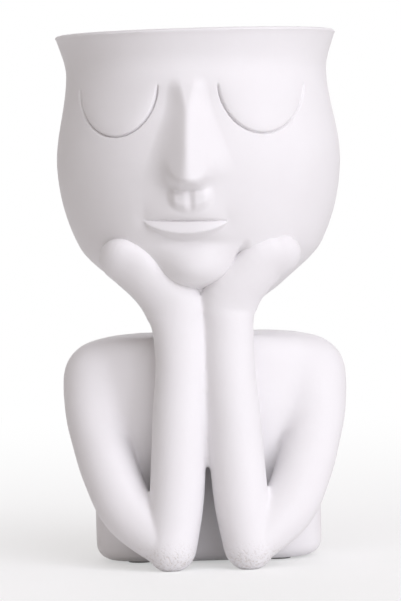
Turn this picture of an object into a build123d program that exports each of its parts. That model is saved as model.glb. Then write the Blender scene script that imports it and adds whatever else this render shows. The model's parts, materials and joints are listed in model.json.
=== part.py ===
"""Head planter: a cast figure whose open head is the pot.

The head bowl stands with a spigot in the neck of a hollow torso. Two arms rest on their elbows and
hold the cheeks. The bowl drains through its neck into the torso, whose floor has a drain hole with a
rubber plug. Four pads under the torso and the two elbow tips stand on the table.

Millimetres. +Z is up and -Y is the side that the face looks to. The origin is on the table, under the
middle of the planter's outline. The pieces are drawn about the head's upright axis and then moved.
"""

import math
import os

from build123d import *

# Heights above the table
RIM_Z = 200.0
BROW_Z = 185.0
CHEEK_Z = 150.0
JAW_Z = 120.0
BOWL_FLOOR_Z = 107.0
NECK_TOP_Z = 95.0
SHOULDER_Z = 86.0
BASE_Z = 0.8

# Head, outside and wall
RIM_WIDTH = 106.0
BROW_WIDTH = 98.4
CHEEK_WIDTH = 107.2
JAW_WIDTH = 91.6
NECK_WIDTH = 36.4
HEAD_DEPTH_SHARE = 0.95
HEAD_TURN = 4.0
HEAD_AXIS_Y = 5.6
HEAD_SQUARENESS = 2.15
WALL = 5.5
FLOOR_RISE = 5.0
RIM_ROUND = 1.2

# Face relief, as reach out of the plain head, width and height
NOSE_TOP_Z = 184.0
NOSE_TIP_Z = 145.0
NOSE_FOOT_Z = 140.2
NOSE_UNDERSIDE = 4.0
NOSE_WING_RISE = 8.0
NOSE_REACH = 11.5
NOSE_BRIDGE_WIDTH = 3.0
NOSE_TIP_WIDTH = 1.6
NOSE_RIDGE_ROUND = 1.5
NOSE_ROOT_WIDTH = 12.0
NOSE_FOOT_WIDTH = 33.0
MOUTH_Z = 129.6
MOUTH_X = -1.6
MOUTH_WIDTH = 32.4
UPPER_LIP_HEIGHT = 3.0
UPPER_LIP_REACH = 2.2
LOWER_LIP_HEIGHT = 5.6
LOWER_LIP_REACH = 3.3
LIP_HOLLOW = 1.2
LIP_HOLLOW_DROP = 8.0
PHILTRUM_REACH = 1.5
PHILTRUM_WIDTH = 13.0
PHILTRUM_HEIGHT = 8.0
CHIN_FOOT_Z = 104.0
CHIN_FULL_Z = 108.0
CHIN_TOP_Z = 123.0
CHIN_EDGE_RISE = 11.5
CHIN_EDGE_ROUND = 2.5
CHIN_REACH = 11.0
CHIN_WIDTH = 34.0
THROAT_REACH = 34.0
THROAT_WIDTH = 18.0
BROW_REACH = 1.8
BROW_HEIGHT = 18.0
BROW_DROP = 4.0

# Closed eyes: places and widths are shares of the brow's width
EYE_SPREAD_SHARE = 0.53
EYE_WIDTH_SHARE = 0.311
EYE_LEAN_SHARE = 0.014
EYE_TOP_Z = 180.0
EYE_DROP = 19.0
EYE_LINE_RADIUS = 0.6

# Torso
TORSO_WIDTH = 86.0
TORSO_FRONT = 23.5
TORSO_BACK = 32.5
TORSO_WALL = 6.0
TORSO_SQUARENESS = 3.0
BASE_ROUND = 6.0
BASE_TUCK = 5.5
SHOULDER_ROUND = 8.0
SPIGOT_RADIUS = 14.0
SPIGOT_LENGTH = 10.0
DRAIN_RADIUS = 6.0

# Arms
SHOULDER_WIDTH = 108.2
SHOULDER_RADIUS = 14.8
SHOULDER_DROP = 0.5
SHOULDER_Y = -3.0
UPPER_ARM_RADIUS = 10.8
FOREARM_RADIUS = 10.2
FOREARM_LEAN = 5.2
WRIST_RADIUS = 9.4
HAND_WIDTH = 17.8
HAND_THICKNESS = 12.0
HAND_SPREAD = 19.9
HAND_SHIFT = 1.4
HAND_TOP_Z = 124.7
FLAT_HAND = 1.3
ELBOW_SPREAD = 29.0
ELBOW_OFFSET = 0.3
ELBOW_Y = -36.0
ELBOW_Z = 8.9

# Upper arm below the shoulder's ball, as shares: way down, forwards and inwards to the elbow, radius
UPPER_ARM_RUN = (
    (0.045, 0.035, 0.128, 1.345),
    (0.138, 0.121, 0.097, 1.250),
    (0.250, 0.230, 0.087, 1.120),
    (0.360, 0.360, 0.118, 1.010),
    (0.560, 0.591, 0.246, 0.981),
    (0.795, 0.803, 0.491, 0.954),
    (1.000, 1.000, 1.000, 0.830),
)

# Forearm above the elbow, as shares: way up, way back, distance from the middle, radius
FOREARM_RUN = (
    (0.142, 0.19, 1.196, 0.99),
    (0.292, 0.48, 1.069, 1.00),
    (0.461, 0.67, 0.980, 0.98),
)

# Wrist, as shares: way up, way back, distance from the middle, thickness
WRIST_RUN = (
    (0.611, 0.87, 0.968, 1.000),
    (0.705, 0.96, 0.968, 0.936),
    (0.771, 1.00, 1.000, 0.915),
)

# Hand, as shares: way up, way back, way out from the wrist, width, thickness, and how far a flat hand shows wider
HAND_RUN = (
    (0.826, 0.98, 0.040, 1.169, 1.367, 0.5),
    (0.876, 0.94, 0.201, 1.146, 1.233, 0.9),
    (0.928, 0.83, 0.487, 1.022, 1.100, 1.0),
    (0.979, 0.71, 0.789, 1.067, 1.033, 0.9),
    (1.000, 0.69, 1.000, 1.000, 1.000, 0.0),
)

# Drain plug
PLUG_GAP = 0.06
PLUG_FLANGE_RADIUS = 9.5
PLUG_FLANGE = 2.2
PLUG_LENGTH = 8.0
PLUG_TAPER = 0.4
PLUG_RECESS = 3.0
PULL_BAR_WIDTH = 3.0

# Pads under the base
PAD_RADIUS = 5.0
PAD_THICKNESS = 1.4
PAD_SPREAD = 52.0
PAD_FRONT_Y = -2.5
PAD_REAR_Y = 17.5
PAD_GLUE = 0.05

# Gaps: the adhesive line between bonded castings, and a loose seat
BOND = 0.2
SEAT_GAP = 0.2

# Fineness of the lofts
HEAD_POINTS = 88
TORSO_POINTS = 32
FACE_STEP = 1.5
NOSE_STEP = 2.4
PLAIN_STEP = 5.0
ARM_STATIONS = 21


def smooth_step(low, high, value):
    """0 below low, 1 above high and a smooth ramp between them."""
    share = min(1.0, max(0.0, (value - low) / (high - low)))
    return share * share * (3.0 - 2.0 * share)


def bump(value, centre, width):
    """A bell of height 1 that is down to about a seventh at half its width from the centre."""
    return math.exp(-2.0 * ((value - centre) / (width / 2.0)) ** 2)


def smooth_curve(knots, at):
    """Value at one place of a smooth curve through (place, value) knots in rising order."""
    places = [place for place, value in knots]
    values = [value for place, value in knots]
    last = len(knots) - 1

    def slope(i):
        before, after = max(i - 1, 0), min(i + 1, last)
        return (values[after] - values[before]) / (places[after] - places[before])

    i = 0
    while i < last - 1 and at > places[i + 1]:
        i += 1
    span = places[i + 1] - places[i]
    t = (at - places[i]) / span
    start = values[i] * (1 + 2 * t) * (1 - t) ** 2 + slope(i) * span * t * (1 - t) ** 2
    end = values[i + 1] * t * t * (3 - 2 * t) - slope(i + 1) * span * t * t * (1 - t)
    return start + end


def levels(low, high, step):
    """Even heights from low to high, about one step apart."""
    count = max(2, round((high - low) / step))
    return [low + (high - low) * i / count for i in range(count + 1)]


def ring(points, parameters):
    """A closed smooth wire through points that all rings of one loft share parameters for."""
    return Wire([Edge.make_spline(points, periodic=True, parameters=parameters)])


# Head bowl


def head_half_width(z):
    """Half of the plain head's width at a height, from the neck's foot to the rim."""
    neck, jaw = NECK_WIDTH / 2, JAW_WIDTH / 2
    under_jaw_z = NECK_TOP_Z + 0.4 * (JAW_Z - NECK_TOP_Z)
    under_jaw = neck + 0.45 * (jaw - neck)
    knots = [
        (SHOULDER_Z, neck),
        (NECK_TOP_Z, neck),
        (under_jaw_z, under_jaw),
        (JAW_Z, jaw),
        (CHEEK_Z, CHEEK_WIDTH / 2),
        (BROW_Z, BROW_WIDTH / 2),
        (RIM_Z, RIM_WIDTH / 2),
    ]
    return smooth_curve(knots, z)


def nose(x, z):
    """A round ridge, broad at its bridge and its tip, with hollow sides and an underside that curves up to them."""
    sideways = (2.0 * x / NOSE_FOOT_WIDTH) ** 2
    foot = NOSE_FOOT_Z + NOSE_WING_RISE * sideways
    underside = smooth_step(foot, foot + NOSE_UNDERSIDE * (1.0 + 3.0 * sideways), z)
    down = min(1.0, max(0.0, (NOSE_TOP_Z - z) / (NOSE_TOP_Z - NOSE_TIP_Z)))
    flat = NOSE_BRIDGE_WIDTH / 2 * smooth_step(0.35, 0.0, down) + NOSE_TIP_WIDTH / 2 * smooth_step(0.75, 1.0, down)
    spread = (NOSE_ROOT_WIDTH + (NOSE_FOOT_WIDTH - NOSE_ROOT_WIDTH) * down) / 2
    away = max(0.0, math.hypot(x, NOSE_RIDGE_ROUND) - NOSE_RIDGE_ROUND - flat) / spread
    grown = down**0.85 * smooth_step(0.0, 0.15, down)
    return NOSE_REACH * grown * underside * max(0.0, 1.0 - away) ** 2.2


def mouth(x, z):
    """The upper lip leans in to the mouth's line, the lower lip swells out below it and a hollow follows."""
    across = max(0.0, 1.0 - (2.0 * (x - MOUTH_X) / MOUTH_WIDTH) ** 2)
    rise = z - MOUTH_Z
    if rise >= 0.0:
        share = rise / UPPER_LIP_HEIGHT
        lips = UPPER_LIP_REACH * across * (1.0 - math.exp(-2.2 * share)) * bump(share, 0.0, 8.5)
    else:
        drop = -rise / (LOWER_LIP_HEIGHT * (0.6 + 0.4 * across))
        lips = LOWER_LIP_REACH * across * min(1.0, drop / 0.8) * smooth_step(1.4, 0.75, drop)
    hollow = bump(x, 0.0, 0.8 * MOUTH_WIDTH) * bump(z, MOUTH_Z - LIP_HOLLOW_DROP, LOWER_LIP_HEIGHT)
    return lips - LIP_HOLLOW * hollow


def philtrum(x, z):
    """The soft cushion between the nose and the upper lip."""
    middle = (NOSE_FOOT_Z + MOUTH_Z + UPPER_LIP_HEIGHT) / 2
    return PHILTRUM_REACH * bump(x, 0.0, PHILTRUM_WIDTH) * bump(z, middle, PHILTRUM_HEIGHT)


def chin(x, z):
    """The full round of the chin, with a clear lower edge that rises to both sides."""
    edge = CHIN_FOOT_Z + CHIN_EDGE_RISE * (2.0 * x / CHIN_WIDTH) ** 2
    upright = smooth_step(edge - CHIN_EDGE_ROUND, edge + CHIN_EDGE_ROUND, z)
    return CHIN_REACH * bump(x, 0.0, CHIN_WIDTH) * upright * smooth_step(CHIN_TOP_Z, CHIN_FULL_Z, z)


def throat(x, z):
    """The filling of the notch between the wrists, below the chin."""
    gap = max(0.0, THROAT_REACH - head_half_width(z) * HEAD_DEPTH_SHARE)
    foot = SHOULDER_Z + 0.2 * (NECK_TOP_Z - SHOULDER_Z)
    return gap * bump(x, 0.0, THROAT_WIDTH) * smooth_step(foot, foot + 0.6 * (NECK_TOP_Z - SHOULDER_Z), z)


def brow(x, z):
    """A soft swelling across the face below the hollow of the rim."""
    return BROW_REACH * bump(x, 0.0, BROW_WIDTH) * bump(z, BROW_Z - BROW_DROP, BROW_HEIGHT)


def face_relief(x, z):
    """How far the face stands out of the plain head."""
    return nose(x, z) + mouth(x, z) + philtrum(x, z) + max(chin(x, z), throat(x, z)) + brow(x, z)


def rim_draw(z):
    """How far the rounding of the rim's edges draws the wall in at a height."""
    over = max(0.0, z - RIM_Z + RIM_ROUND) / RIM_ROUND
    return RIM_ROUND * (1.0 - math.sqrt(max(0.0, 1.0 - over * over)))


def rim_levels():
    """Heights through the rounding of the rim's edges."""
    return [RIM_Z - RIM_ROUND * (1.0 - math.sin(math.radians(turn))) for turn in (0, 25, 50, 75, 90)]


def head_point(angle, z, outward=0.0, with_face=True):
    """A point of the head's outside at an angle from the face's direction, counted to the viewer's right."""
    side, front = math.sin(angle), math.cos(angle)
    half_width = head_half_width(z) + outward
    half_depth = head_half_width(z) * HEAD_DEPTH_SHARE + outward
    power = HEAD_SQUARENESS
    reach = (abs(side) / half_width) ** power + (abs(front) / half_depth) ** power
    radius = reach ** (-1.0 / power)
    if with_face and front > 0.0:
        radius += face_relief(radius * side, z) * front
    turned = angle - math.radians(HEAD_TURN)
    return Vector(radius * math.sin(turned), -radius * math.cos(turned), z)


def head_angles():
    """Angles round the head, closer together on the face than behind it."""
    shares = [-1.0 + 2.0 * i / HEAD_POINTS for i in range(HEAD_POINTS + 1)]
    return [math.pi * share * (0.45 + 0.55 * share * share) for share in shares]


def head_loft(heights, outward=0.0, with_face=True):
    """The head's outside between two heights as one solid."""
    angles = head_angles()
    rings = []
    for z in heights:
        points = [head_point(angle, z, outward - rim_draw(z), with_face) for angle in angles[:-1]]
        rings.append(ring(points, angles))
    return Solid.make_loft(rings)


def head_heights(low):
    """Loft heights up to the rim: closer together over the face."""
    chin_low, nose_low = CHIN_FOOT_Z - 2 * CHIN_EDGE_ROUND, NOSE_TIP_Z + 3 * FACE_STEP
    nose_high = NOSE_TOP_Z + 2 * NOSE_STEP
    return [
        *levels(low, chin_low, PLAIN_STEP)[:-1],
        *levels(chin_low, nose_low, FACE_STEP)[:-1],
        *levels(nose_low, nose_high, NOSE_STEP)[:-1],
        *levels(nose_high, RIM_Z - RIM_ROUND, PLAIN_STEP)[:-1],
        *rim_levels(),
    ]


def bowl_cavity():
    """The planting space: the plain head drawn in by the wall, with its floor raised and its mouth run out."""
    angles = head_angles()
    rings = []
    for z in [*levels(BOWL_FLOOR_Z, RIM_Z - RIM_ROUND, PLAIN_STEP)[:-1], *rim_levels()]:
        rise = FLOOR_RISE * (1.0 - smooth_step(BOWL_FLOOR_Z, CHEEK_Z, z))
        inward = WALL - rim_draw(z)
        outside = [head_point(angle, z - rise, -inward, with_face=False) for angle in angles[:-1]]
        rings.append(ring([Vector(p.X, p.Y, z) for p in outside], angles))
    space = Solid.make_loft(rings)
    opening = space.faces().sort_by(Axis.Z)[-1]
    return space + Solid.extrude(opening, Vector(0, 0, RIM_ROUND))


def eye_line(side):
    """The tube that cuts one closed eye's line: an arc that hangs on the face and leans outwards."""
    half, middle = BROW_WIDTH * EYE_WIDTH_SHARE / 2, BROW_WIDTH * EYE_SPREAD_SHARE / 2
    lean = BROW_WIDTH * EYE_LEAN_SHARE
    points = []
    for i in range(9):
        turn = math.pi * (0.03 + 0.94 * i / 8)
        x = side * (middle + lean * math.sin(turn)) - half * math.cos(turn)
        z = EYE_TOP_Z - EYE_DROP * math.sin(turn)
        angle = math.asin(x / (head_half_width(z) * HEAD_DEPTH_SHARE))
        points.append(head_point(angle, z))
    path = Edge.make_spline(points)
    return sweep(Plane(points[0], z_dir=path % 0) * Circle(EYE_LINE_RADIUS), path=path)


def head_bowl():
    """The open head with its face, the neck, the spigot below it and the drain through both."""
    bowl = head_loft(head_heights(SHOULDER_Z + BOND)) - bowl_cavity()
    spigot_foot = SHOULDER_Z - SPIGOT_LENGTH
    spigot = Pos(0, 0, spigot_foot) * Cylinder(
        SPIGOT_RADIUS, SPIGOT_LENGTH + 1.0, align=(Align.CENTER, Align.CENTER, Align.MIN)
    )
    drain = Pos(0, 0, spigot_foot) * Cylinder(
        DRAIN_RADIUS, RIM_Z - spigot_foot, align=(Align.CENTER, Align.CENTER, Align.MIN)
    )
    bowl = bowl + spigot - drain
    for side in (-1, 1):
        bowl -= eye_line(side)
    return bowl


# Torso


def torso_stations(inset=0.0):
    """(height, half width, front, back) of the torso's outlines, drawn in by an inset."""
    half, front, back = TORSO_WIDTH / 2, TORSO_FRONT, TORSO_BACK
    body = SHOULDER_Z - BASE_Z
    shape = []
    for degrees in (15, 30, 45, 60, 75, 90):
        turn = math.radians(degrees)
        rise = BASE_ROUND * (math.cos(math.radians(15)) - math.cos(turn))
        draw = BASE_ROUND * (1.0 - math.sin(turn))
        shape.append((BASE_Z + rise, half - draw, front - BASE_TUCK - draw, back - draw))
    shape += [
        (BASE_Z + 0.28 * body, half, front - 0.7 * BASE_TUCK, back),
        (BASE_Z + 0.52 * body, half, front - 0.3 * BASE_TUCK, 0.97 * back),
        (BASE_Z + 0.72 * body, 1.012 * half, front, 0.908 * back),
    ]
    for degrees in (90, 72, 54, 36, 20):
        turn = math.radians(degrees)
        rise = SHOULDER_ROUND * math.cos(turn) / math.cos(math.radians(20))
        draw = SHOULDER_ROUND * (1.0 - math.sin(turn))
        z = SHOULDER_Z - SHOULDER_ROUND + rise
        shape.append((z, 1.012 * half - draw, 0.979 * front - 0.7 * draw, 0.862 * back - 0.8 * draw))
    return [(z, w - inset, f - inset, b - inset) for z, w, f, b in shape]


def torso_ring(z, half_width, front, back):
    """One outline of the torso: a rounded box that reaches front and back by different amounts."""
    angles = [2.0 * math.pi * i / TORSO_POINTS for i in range(TORSO_POINTS + 1)]
    half_depth, middle = (front + back) / 2, (back - front) / 2
    points = []
    for angle in angles[:-1]:
        side, ahead = math.sin(angle), -math.cos(angle)
        reach = (abs(side) / half_width) ** TORSO_SQUARENESS + (abs(ahead) / half_depth) ** TORSO_SQUARENESS
        radius = reach ** (-1.0 / TORSO_SQUARENESS)
        points.append(Vector(radius * side, middle + radius * ahead, z))
    return ring(points, angles)


def torso_loft(inset=0.0):
    """The torso's outside, or the same form drawn in."""
    return Solid.make_loft([torso_ring(*station) for station in torso_stations(inset)])


def torso_cavity():
    """The hollow of the torso, between its floor and the underside of the shoulders."""
    low, high = BASE_Z + TORSO_WALL, SHOULDER_Z - TORSO_WALL
    body = SHOULDER_Z - BASE_Z
    rings = []
    for z, half_width, front, back in torso_stations(TORSO_WALL):
        rings.append(torso_ring(low + (z - BASE_Z) / body * (high - low), half_width, front, back))
    return Solid.make_loft(rings)


def torso():
    """The hollow body with the neck socket on top, and the drain hole, plug recess and pad pockets below."""
    body = torso_loft() - torso_cavity()
    socket = Pos(0, 0, SHOULDER_Z) * Cylinder(SPIGOT_RADIUS + SEAT_GAP, 4 * TORSO_WALL)
    upward = (Align.CENTER, Align.CENTER, Align.MIN)
    drain = Pos(0, 0, BASE_Z) * Cylinder(DRAIN_RADIUS, 2 * TORSO_WALL, align=upward)
    recess = Pos(0, 0, BASE_Z) * Cylinder(PLUG_FLANGE_RADIUS + SEAT_GAP, PLUG_RECESS, align=upward)
    body = body - socket - drain - recess
    for x, y in pad_places().values():
        body -= Pos(x, y, BASE_Z) * Cylinder(PAD_RADIUS + SEAT_GAP, PAD_THICKNESS - BASE_Z + PAD_GLUE, align=upward)
    return body


# Arms


def resample(controls, count):
    """Even stations on the smooth run through a limb's controls: centre, direction and half sizes."""
    travel = [0.0]
    for before, after in zip(controls, controls[1:]):
        travel.append(travel[-1] + math.dist(before[:3], after[:3]))

    # A direction is read over a short way, so that neighbouring sections of a bend don't cross
    reach = 0.04 * travel[-1]

    def at(place, column):
        return smooth_curve([(t, control[column]) for t, control in zip(travel, controls)], place)

    stations = []
    for i in range(count):
        place = travel[-1] * i / (count - 1)
        low, high = max(0.0, place - reach), min(travel[-1], place + reach)
        centre = Vector(*(at(place, column) for column in range(3)))
        along = Vector(*(at(high, column) - at(low, column) for column in range(3))).normalized()
        stations.append((centre, along, at(place, 3), at(place, 4)))
    return stations


def rounded_end(station, outward, reach):
    """Stations that round off a limb beyond one end, the nearest first."""
    centre, along, half_width, half_thickness = station
    cap = []
    for degrees in (25, 48, 66, 80):
        turn = math.radians(degrees)
        move = along * (outward * reach * math.sin(turn))
        cap.append((centre + move, along, half_width * math.cos(turn), half_thickness * math.cos(turn)))
    return cap


def limb(controls, palm, start_reach, end_reach):
    """A limb lofted through ellipses whose thin side turns from straight ahead to the palm's facing."""
    stations = resample(controls, ARM_STATIONS)
    head = rounded_end(stations[0], -1, start_reach)[::-1]
    tail = rounded_end(stations[-1], 1, end_reach)
    run = head + stations + tail
    sections = []
    for i, (centre, along, half_width, half_thickness) in enumerate(run):
        turn = smooth_step(0.55, 0.95, i / (len(run) - 1))
        facing = Vector(0, -1, 0) * (1 - turn) + Vector(*palm) * turn
        plane = Plane(centre, x_dir=along.cross(facing), z_dir=along)
        sections.append(plane * Ellipse(half_width, half_thickness))
    return loft(sections)


def upper_arm(side):
    """From the round shoulder down, forwards and inwards to the elbow."""
    ball, r = SHOULDER_RADIUS, UPPER_ARM_RADIUS
    outer, elbow = SHOULDER_WIDTH / 2 - r, side * ELBOW_OFFSET + ELBOW_SPREAD / 2
    top_z = SHOULDER_Z - SHOULDER_DROP - ball
    controls = [(side * (SHOULDER_WIDTH / 2 - ball), SHOULDER_Y, top_z, ball, ball)]
    for down, ahead, inward, radius in UPPER_ARM_RUN:
        x = side * (outer + (elbow - outer) * inward)
        y = SHOULDER_Y + (ELBOW_Y - SHOULDER_Y) * ahead
        z = top_z + (ELBOW_Z - top_z) * down
        controls.append((x, y, z, r * radius, r * radius))
    end = r * UPPER_ARM_RUN[-1][-1]
    return limb(controls, (0, -1, 0), ball, end)


def forearm(side):
    """From the elbow up to the wrist, and the mitten of the hand along the cheek."""
    r, wrist, w, t = FOREARM_RADIUS, WRIST_RADIUS, HAND_WIDTH / 2, HAND_THICKNESS / 2
    tall = HAND_TOP_Z - w - ELBOW_Z
    elbow = 0.94 * r
    controls = [(ELBOW_OFFSET + side * ELBOW_SPREAD / 2, ELBOW_Y, ELBOW_Z, elbow, elbow)]

    def place(up, back, x, half_width, half_thickness):
        # Both hands lean to the viewer's left and still meet in the middle
        shift = HAND_SHIFT / 2 * smooth_step(0.66, 0.88, up)
        y, z = ELBOW_Y + FOREARM_LEAN * back, ELBOW_Z + tall * up
        controls.append((ELBOW_OFFSET - shift + side * x, y, z, half_width - side * shift, half_thickness))

    for up, back, out, radius in FOREARM_RUN:
        place(up, back, r * out, r * radius, r * radius)
    for up, back, out, thickness in WRIST_RUN:
        place(up, back, wrist * out, wrist, wrist * thickness)
    for up, back, out, width, thickness, flat in HAND_RUN:
        wider = FLAT_HAND * flat if side > 0 else 0.0
        x = wrist + HAND_SPREAD * out - 0.75 * wider
        place(up + 0.7 * wider / tall, back, x, w * width + wider, t * thickness)
    return limb(controls, (side * 0.5, -0.65, -0.5), elbow, w)


def arm(side, clear_of):
    """One arm, cut where it is bonded to the head, the torso and the other arm, with flat elbow tip."""
    whole = upper_arm(side) + forearm(side)
    below = (Align.CENTER, Align.CENTER, Align.MAX)
    whole -= Box(4 * CHEEK_WIDTH, 4 * CHEEK_WIDTH, RIM_Z, align=below)
    beyond = Align.MAX if side > 0 else Align.MIN
    other_side = Box(RIM_Z, 4 * CHEEK_WIDTH, 4 * RIM_Z, align=(beyond, Align.CENTER, Align.CENTER))
    whole -= Pos(ELBOW_OFFSET + side * BOND / 2, 0, 0) * other_side
    for neighbour in clear_of:
        whole -= neighbour
    return max(whole.solids(), key=lambda solid: solid.volume)


# Fittings


def pad_places():
    """Where each pad is stuck, about the head's axis."""
    return {
        "front_left_pad": (-PAD_SPREAD / 2, PAD_FRONT_Y),
        "front_right_pad": (PAD_SPREAD / 2, PAD_FRONT_Y),
        "rear_left_pad": (-PAD_SPREAD / 2, PAD_REAR_Y),
        "rear_right_pad": (PAD_SPREAD / 2, PAD_REAR_Y),
    }


def pad(x, y):
    """A thin round pad with a softened lower edge."""
    disc = Cylinder(PAD_RADIUS, PAD_THICKNESS, align=(Align.CENTER, Align.CENTER, Align.MIN))
    return Pos(x, y, 0) * chamfer(disc.edges().sort_by(Axis.Z)[:1], PAD_THICKNESS / 5)


def drain_plug():
    """A tapered stopper with a flange that seats in the recess and a bar to pull it out by."""
    seat = BASE_Z + PLUG_RECESS - PLUG_GAP
    foot = DRAIN_RADIUS - PLUG_GAP
    outline = Polyline(
        (0, seat - PLUG_FLANGE),
        (PLUG_FLANGE_RADIUS, seat - PLUG_FLANGE),
        (PLUG_FLANGE_RADIUS, seat),
        (foot, seat),
        (foot, seat + 0.4 * PLUG_LENGTH),
        (foot - PLUG_TAPER, seat + 0.9 * PLUG_LENGTH),
        (foot - PLUG_TAPER - 0.1 * PLUG_LENGTH, seat + PLUG_LENGTH),
        (0, seat + PLUG_LENGTH),
        close=True,
    )
    stopper = revolve(Plane.XZ * make_face(outline), Axis.Z)
    bar_drop = seat - PLUG_FLANGE - BASE_Z / 2
    bar = Pos(0, 0, BASE_Z / 2) * Box(
        1.4 * PLUG_FLANGE_RADIUS, PULL_BAR_WIDTH, bar_drop + PLUG_FLANGE / 2, align=(Align.CENTER, Align.CENTER, Align.MIN)
    )
    return stopper + bar


def main():
    head_clear = head_loft(head_heights(SHOULDER_Z), outward=BOND)
    torso_clear = torso_loft(-BOND)
    pieces = {
        "head_bowl": head_bowl(),
        "torso": torso(),
        "left_arm": arm(-1, [head_clear, torso_clear]),
        "right_arm": arm(1, [head_clear, torso_clear]),
        "drain_plug": drain_plug(),
    }
    for name, (x, y) in pad_places().items():
        pieces[name] = pad(x, y)
    os.makedirs("parts", exist_ok=True)
    for name, piece in pieces.items():
        export_step(Pos(0, HEAD_AXIS_Y, 0) * piece, f"parts/{name}.step")


main()
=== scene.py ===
"""Looks for a cast head planter: an open head held in two hands on a hollow torso.

The head is turned on one closed profile and then its face is raised. The torso and both arms are
drawn as separate forms, grown together into one skin with soft shoulders, and parted again. The
planter is matte unglazed ceramic, and its plug and pads are rubber.
"""

import json
import math

import bmesh
import bpy
import numpy as np
from bpy.props import FloatProperty, FloatVectorProperty, PointerProperty
from mathutils import Matrix, Vector

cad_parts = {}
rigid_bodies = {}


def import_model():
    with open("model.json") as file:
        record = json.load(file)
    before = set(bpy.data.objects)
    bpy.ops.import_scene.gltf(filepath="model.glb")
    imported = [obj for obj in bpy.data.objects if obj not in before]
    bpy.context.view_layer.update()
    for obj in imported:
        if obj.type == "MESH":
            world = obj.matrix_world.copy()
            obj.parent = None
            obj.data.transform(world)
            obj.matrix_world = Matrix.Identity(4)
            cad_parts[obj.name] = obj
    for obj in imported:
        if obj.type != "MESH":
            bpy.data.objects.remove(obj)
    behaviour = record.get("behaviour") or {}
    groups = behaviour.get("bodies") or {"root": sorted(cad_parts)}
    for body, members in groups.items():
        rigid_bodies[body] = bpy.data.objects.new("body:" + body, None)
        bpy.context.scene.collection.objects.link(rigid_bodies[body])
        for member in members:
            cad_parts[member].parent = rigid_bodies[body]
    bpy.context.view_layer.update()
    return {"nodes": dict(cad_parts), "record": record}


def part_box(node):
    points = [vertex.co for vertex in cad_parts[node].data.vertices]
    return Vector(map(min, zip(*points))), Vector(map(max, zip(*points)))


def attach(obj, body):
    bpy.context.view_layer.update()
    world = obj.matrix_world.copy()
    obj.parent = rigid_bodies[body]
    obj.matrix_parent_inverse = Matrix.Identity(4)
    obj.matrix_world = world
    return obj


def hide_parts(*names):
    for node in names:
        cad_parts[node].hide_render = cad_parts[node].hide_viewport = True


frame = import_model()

bl_info = {
    "name": "Head planter",
    "version": (1, 0, 0),
    "blender": (4, 5, 0),
    "location": "View3D > Sidebar > Planter",
    "description": "Models and finishes a cast planter in the form of a resting head",
    "category": "Object",
}

MM = 0.001

# The head's upright axis stands behind the middle of the outline
AXIS_Y = 5.6 * MM

# Heights above the table
RIM_Z = 200.0 * MM
BROW_Z = 185.0 * MM
CHEEK_Z = 150.0 * MM
JAW_Z = 120.0 * MM
BOWL_FLOOR_Z = 107.0 * MM
NECK_TOP_Z = 95.0 * MM
SHOULDER_Z = 86.0 * MM
BASE_Z = 0.8 * MM

# Places and sizes on the face in millimetres: x across from its middle, z above the table
NOSE_TOP = 184.0
NOSE_HEIGHT = 39.0
NOSE_FOOT = 140.2
MOUTH_X = -2.3
MOUTH_Z = 129.6
MOUTH_SLOPE = 0.03
MOUTH_HALF_WIDTH = 15.2
MOUTH_LINE_DEPTH = 0.7
MOUTH_LINE_WIDTH = 0.45
LIP_HALF_WIDTH = 15.7
UPPER_LIP_HEIGHT = 3.0
LOWER_LIP_HEIGHT = 5.6
CUSHION_REACH = 2.0
CUSHION_FOOT = 131.8
CHIN_EDGE = 104.0
CHIN_WIDTH = 36.5
THROAT_X = 1.5
THROAT_WIDTH = 18.0
BROW_REACH = 1.8
BROW_MIDDLE = 181.0
EYE_X = 26.1
EYE_Z = 180.0
EYE_HALF_WIDTH = 15.3
EYE_DROP = 19.0
EYE_LINE_WIDTH = 0.34
LID_TOP = 184.0
CREASE_X = 14.7
CREASE_Z = 112.2
CREASE_LEAN = math.radians(30.45)
CREASE_DEPTH = 4.0
CREASE_WIDTH = 1.4

PAD_NODES = ("front_left_pad", "front_right_pad", "rear_left_pad", "rear_right_pad")


def linear(hex_colour):
    """A colour written as sRGB hex, as linear RGB with full alpha."""
    shades = [int(hex_colour[i:i + 2], 16) / 255 for i in (1, 3, 5)]
    return (*(s / 12.92 if s <= 0.04045 else ((s + 0.055) / 1.055) ** 2.4 for s in shades), 1.0)


def length(name, millimetres, description):
    """A length that a user can change, in metres."""
    return FloatProperty(
        name=name, description=description, default=millimetres * MM, unit="LENGTH", precision=4
    )


def colour(name, hex_colour, description):
    """A colour that a user can change."""
    return FloatVectorProperty(
        name=name, description=description, default=linear(hex_colour), size=4, subtype="COLOR", min=0, max=1
    )


def angle(name, degrees, description):
    """An angle that a user can change, in radians."""
    return FloatProperty(name=name, description=description, default=math.radians(degrees), subtype="ANGLE")


def strength(name, amount, description):
    """A lamp's strength that a user can change."""
    return FloatProperty(name=name, description=description, default=amount)


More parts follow.
